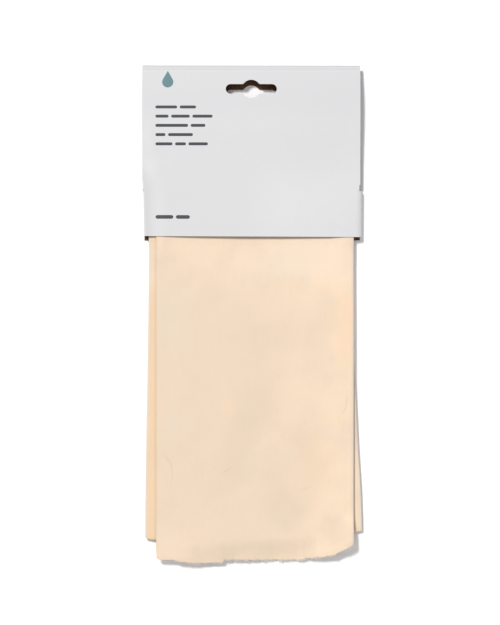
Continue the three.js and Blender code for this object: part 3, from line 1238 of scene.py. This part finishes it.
# Painted shade on the lower left of the printed face.
from_left = print_grey.span(print_grey.axis("X"), low=-0.015, high=0.025)
lower_left_shaded = print_grey.mix(from_left, lower_left_shade_grey, print_and_shade)
upper_half = print_grey.span(up_the_card, low=0.08, high=0.105)
print_grey.coloured(print_grey.mix(upper_half, lower_left_shaded, print_and_shade))
dullness = print_grey.span(board_fibre, low=0.3, high=0.7, start=0.44, end=0.56)
print_grey.join(dullness, print_grey.shader.inputs["Roughness"])
fibre_relief = print_grey.bump(board_fibre, strength=0.12, depth=0.03)
print_grey.embossed(print_grey.bump(pulp, strength=0.1, depth=0.12, under=fibre_relief))

kraft = Finish("card_kraft_inside", roughness=0.8)
kraft_brown = paint(122, 80, 50)
kraft_dark = paint(94, 60, 35)
kraft_fibre = kraft.grain(size=0.9, detail=4.0, rough=0.65, stretch=(1, 0.3, 1))
kraft_tones = kraft.span(kraft_fibre, low=0.35, high=0.65)
kraft.coloured(kraft.mix(kraft_tones, kraft_dark, kraft_brown))
kraft.embossed(kraft.bump(kraft_fibre, strength=0.35, depth=0.06))

cut_board = Finish("card_cut_edge", roughness=0.85)
cut_grey = paint(206, 198, 188)
cut_brown = paint(168, 140, 112)
cut_layers = cut_board.grain(size=0.25, detail=3.0, rough=0.6)
cut_board.coloured(cut_board.mix(cut_layers, cut_grey, cut_brown))


def ink_finish(name, full, thin):
    """Printing ink: flat and even, and a little thinner where the board's fibres show through."""
    ink = Finish(name, roughness=0.42)
    cover = ink.grain(size=0.5, detail=3.0, rough=0.6)
    ink.coloured(ink.mix(ink.span(cover, low=0.55, high=0.8), full, thin))
    ink.embossed(ink.bump(cover, strength=0.08, depth=0.03))
    return ink.material


word_ink = ink_finish("card_word_ink", paint(70, 72, 78), paint(84, 86, 92))
drop_ink = ink_finish("card_drop_ink", paint(92, 132, 138), paint(104, 144, 148))
# Solidify gives the inside of every face the next material on this list, and the cut edges
# the last one.
card = to_object(
    "header_card_folded",
    blank,
    (
        print_grey.material,
        kraft.material,
        word_ink,
        kraft.material,
        drop_ink,
        kraft.material,
        cut_board.material,
    ),
)
caliper = card.modifiers.new("board_thickness", "SOLIDIFY")
caliper.thickness = board_thickness * mm
caliper.offset = -1
caliper.material_offset = 1
caliper.material_offset_rim = cut_edge_number
keep_modifiers(card, sharp_degrees=35)
# The board's thickness leans outward where its left edge rises, so it is brought back in line.
for vert in card.data.vertices:
    vert.co.x = min(cad_high[0], max(cad_low[0], vert.co.x))
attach(card, "header")
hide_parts("header_card")


# Glue. Two thin lines of hot melt, laid on the laps and pressed flat when the card is closed.
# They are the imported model's own solids, which only take a finish here.
melt = Finish("hot_melt", roughness=0.35)
melt_milky = paint(236, 226, 200)
melt_clear = paint(222, 208, 172)
melt_flow = melt.grain(size=1.6, detail=2.0, rough=0.5, stretch=(1, 0.4, 1))
melt.coloured(melt.mix(melt_flow, melt_milky, melt_clear))
melt.embossed(melt.bump(melt_flow, strength=0.5, depth=0.1))
melt.shader.inputs["Subsurface Weight"].default_value = 0.15
melt.shader.inputs["Subsurface Radius"].default_value = (0.002, 0.0016, 0.001)
for side in ("left", "right"):
    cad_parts["glue_line_" + side].data.materials[0] = melt.material


# Floor and light. A seamless white table, lit softly by one lamp from the upper left
# and by white light from all round.
floor_half = 12000
floor_drop = 0.05
floor_mesh = bmesh.new()
bmesh.ops.create_grid(floor_mesh, x_segments=1, y_segments=1, size=floor_half * mm)
bmesh.ops.translate(floor_mesh, verts=floor_mesh.verts, vec=(0, 0, -floor_drop * mm))
floor_data = bpy.data.meshes.new("floor")
floor_mesh.to_mesh(floor_data)
floor_mesh.free()
floor = bpy.data.objects.new("floor", floor_data)
bpy.context.collection.objects.link(floor)
white_table = Finish("white_table", roughness=0.9)
white_table.shader.inputs["Specular IOR Level"].default_value = 0.0
table_white = (0.99, 0.99, 0.99, 1)
table_off_white = (0.985, 0.985, 0.985, 1)
table_tones = white_table.grain(size=400)
white_table.coloured(white_table.mix(table_tones, table_white, table_off_white))
floor_data.materials.append(white_table.material)

lamp_from = Vector((-0.5, 0.73, 1.0))
lamp_strength = 2.89
lamp_colour = (1.0, 0.986, 0.966)
lamp_spread_degrees = 11
lamp = bpy.data.objects.new("lamp", bpy.data.lights.new("lamp", "SUN"))
lamp.data.energy = lamp_strength
lamp.data.color = lamp_colour
lamp.data.angle = math.radians(lamp_spread_degrees)
lamp.rotation_euler = lamp_from.to_track_quat("Z", "Y").to_euler()
bpy.context.collection.objects.link(lamp)
surround_strength = 0.554
surround_colour = (0.975, 0.99, 1.02, 1)
surround = bpy.data.worlds.new("surround")
surround.use_nodes = True
surround.node_tree.nodes["Background"].inputs["Color"].default_value = surround_colour
surround.node_tree.nodes["Background"].inputs["Strength"].default_value = surround_strength
bpy.context.scene.world = surround
bpy.context.scene.view_settings.view_transform = "Standard"
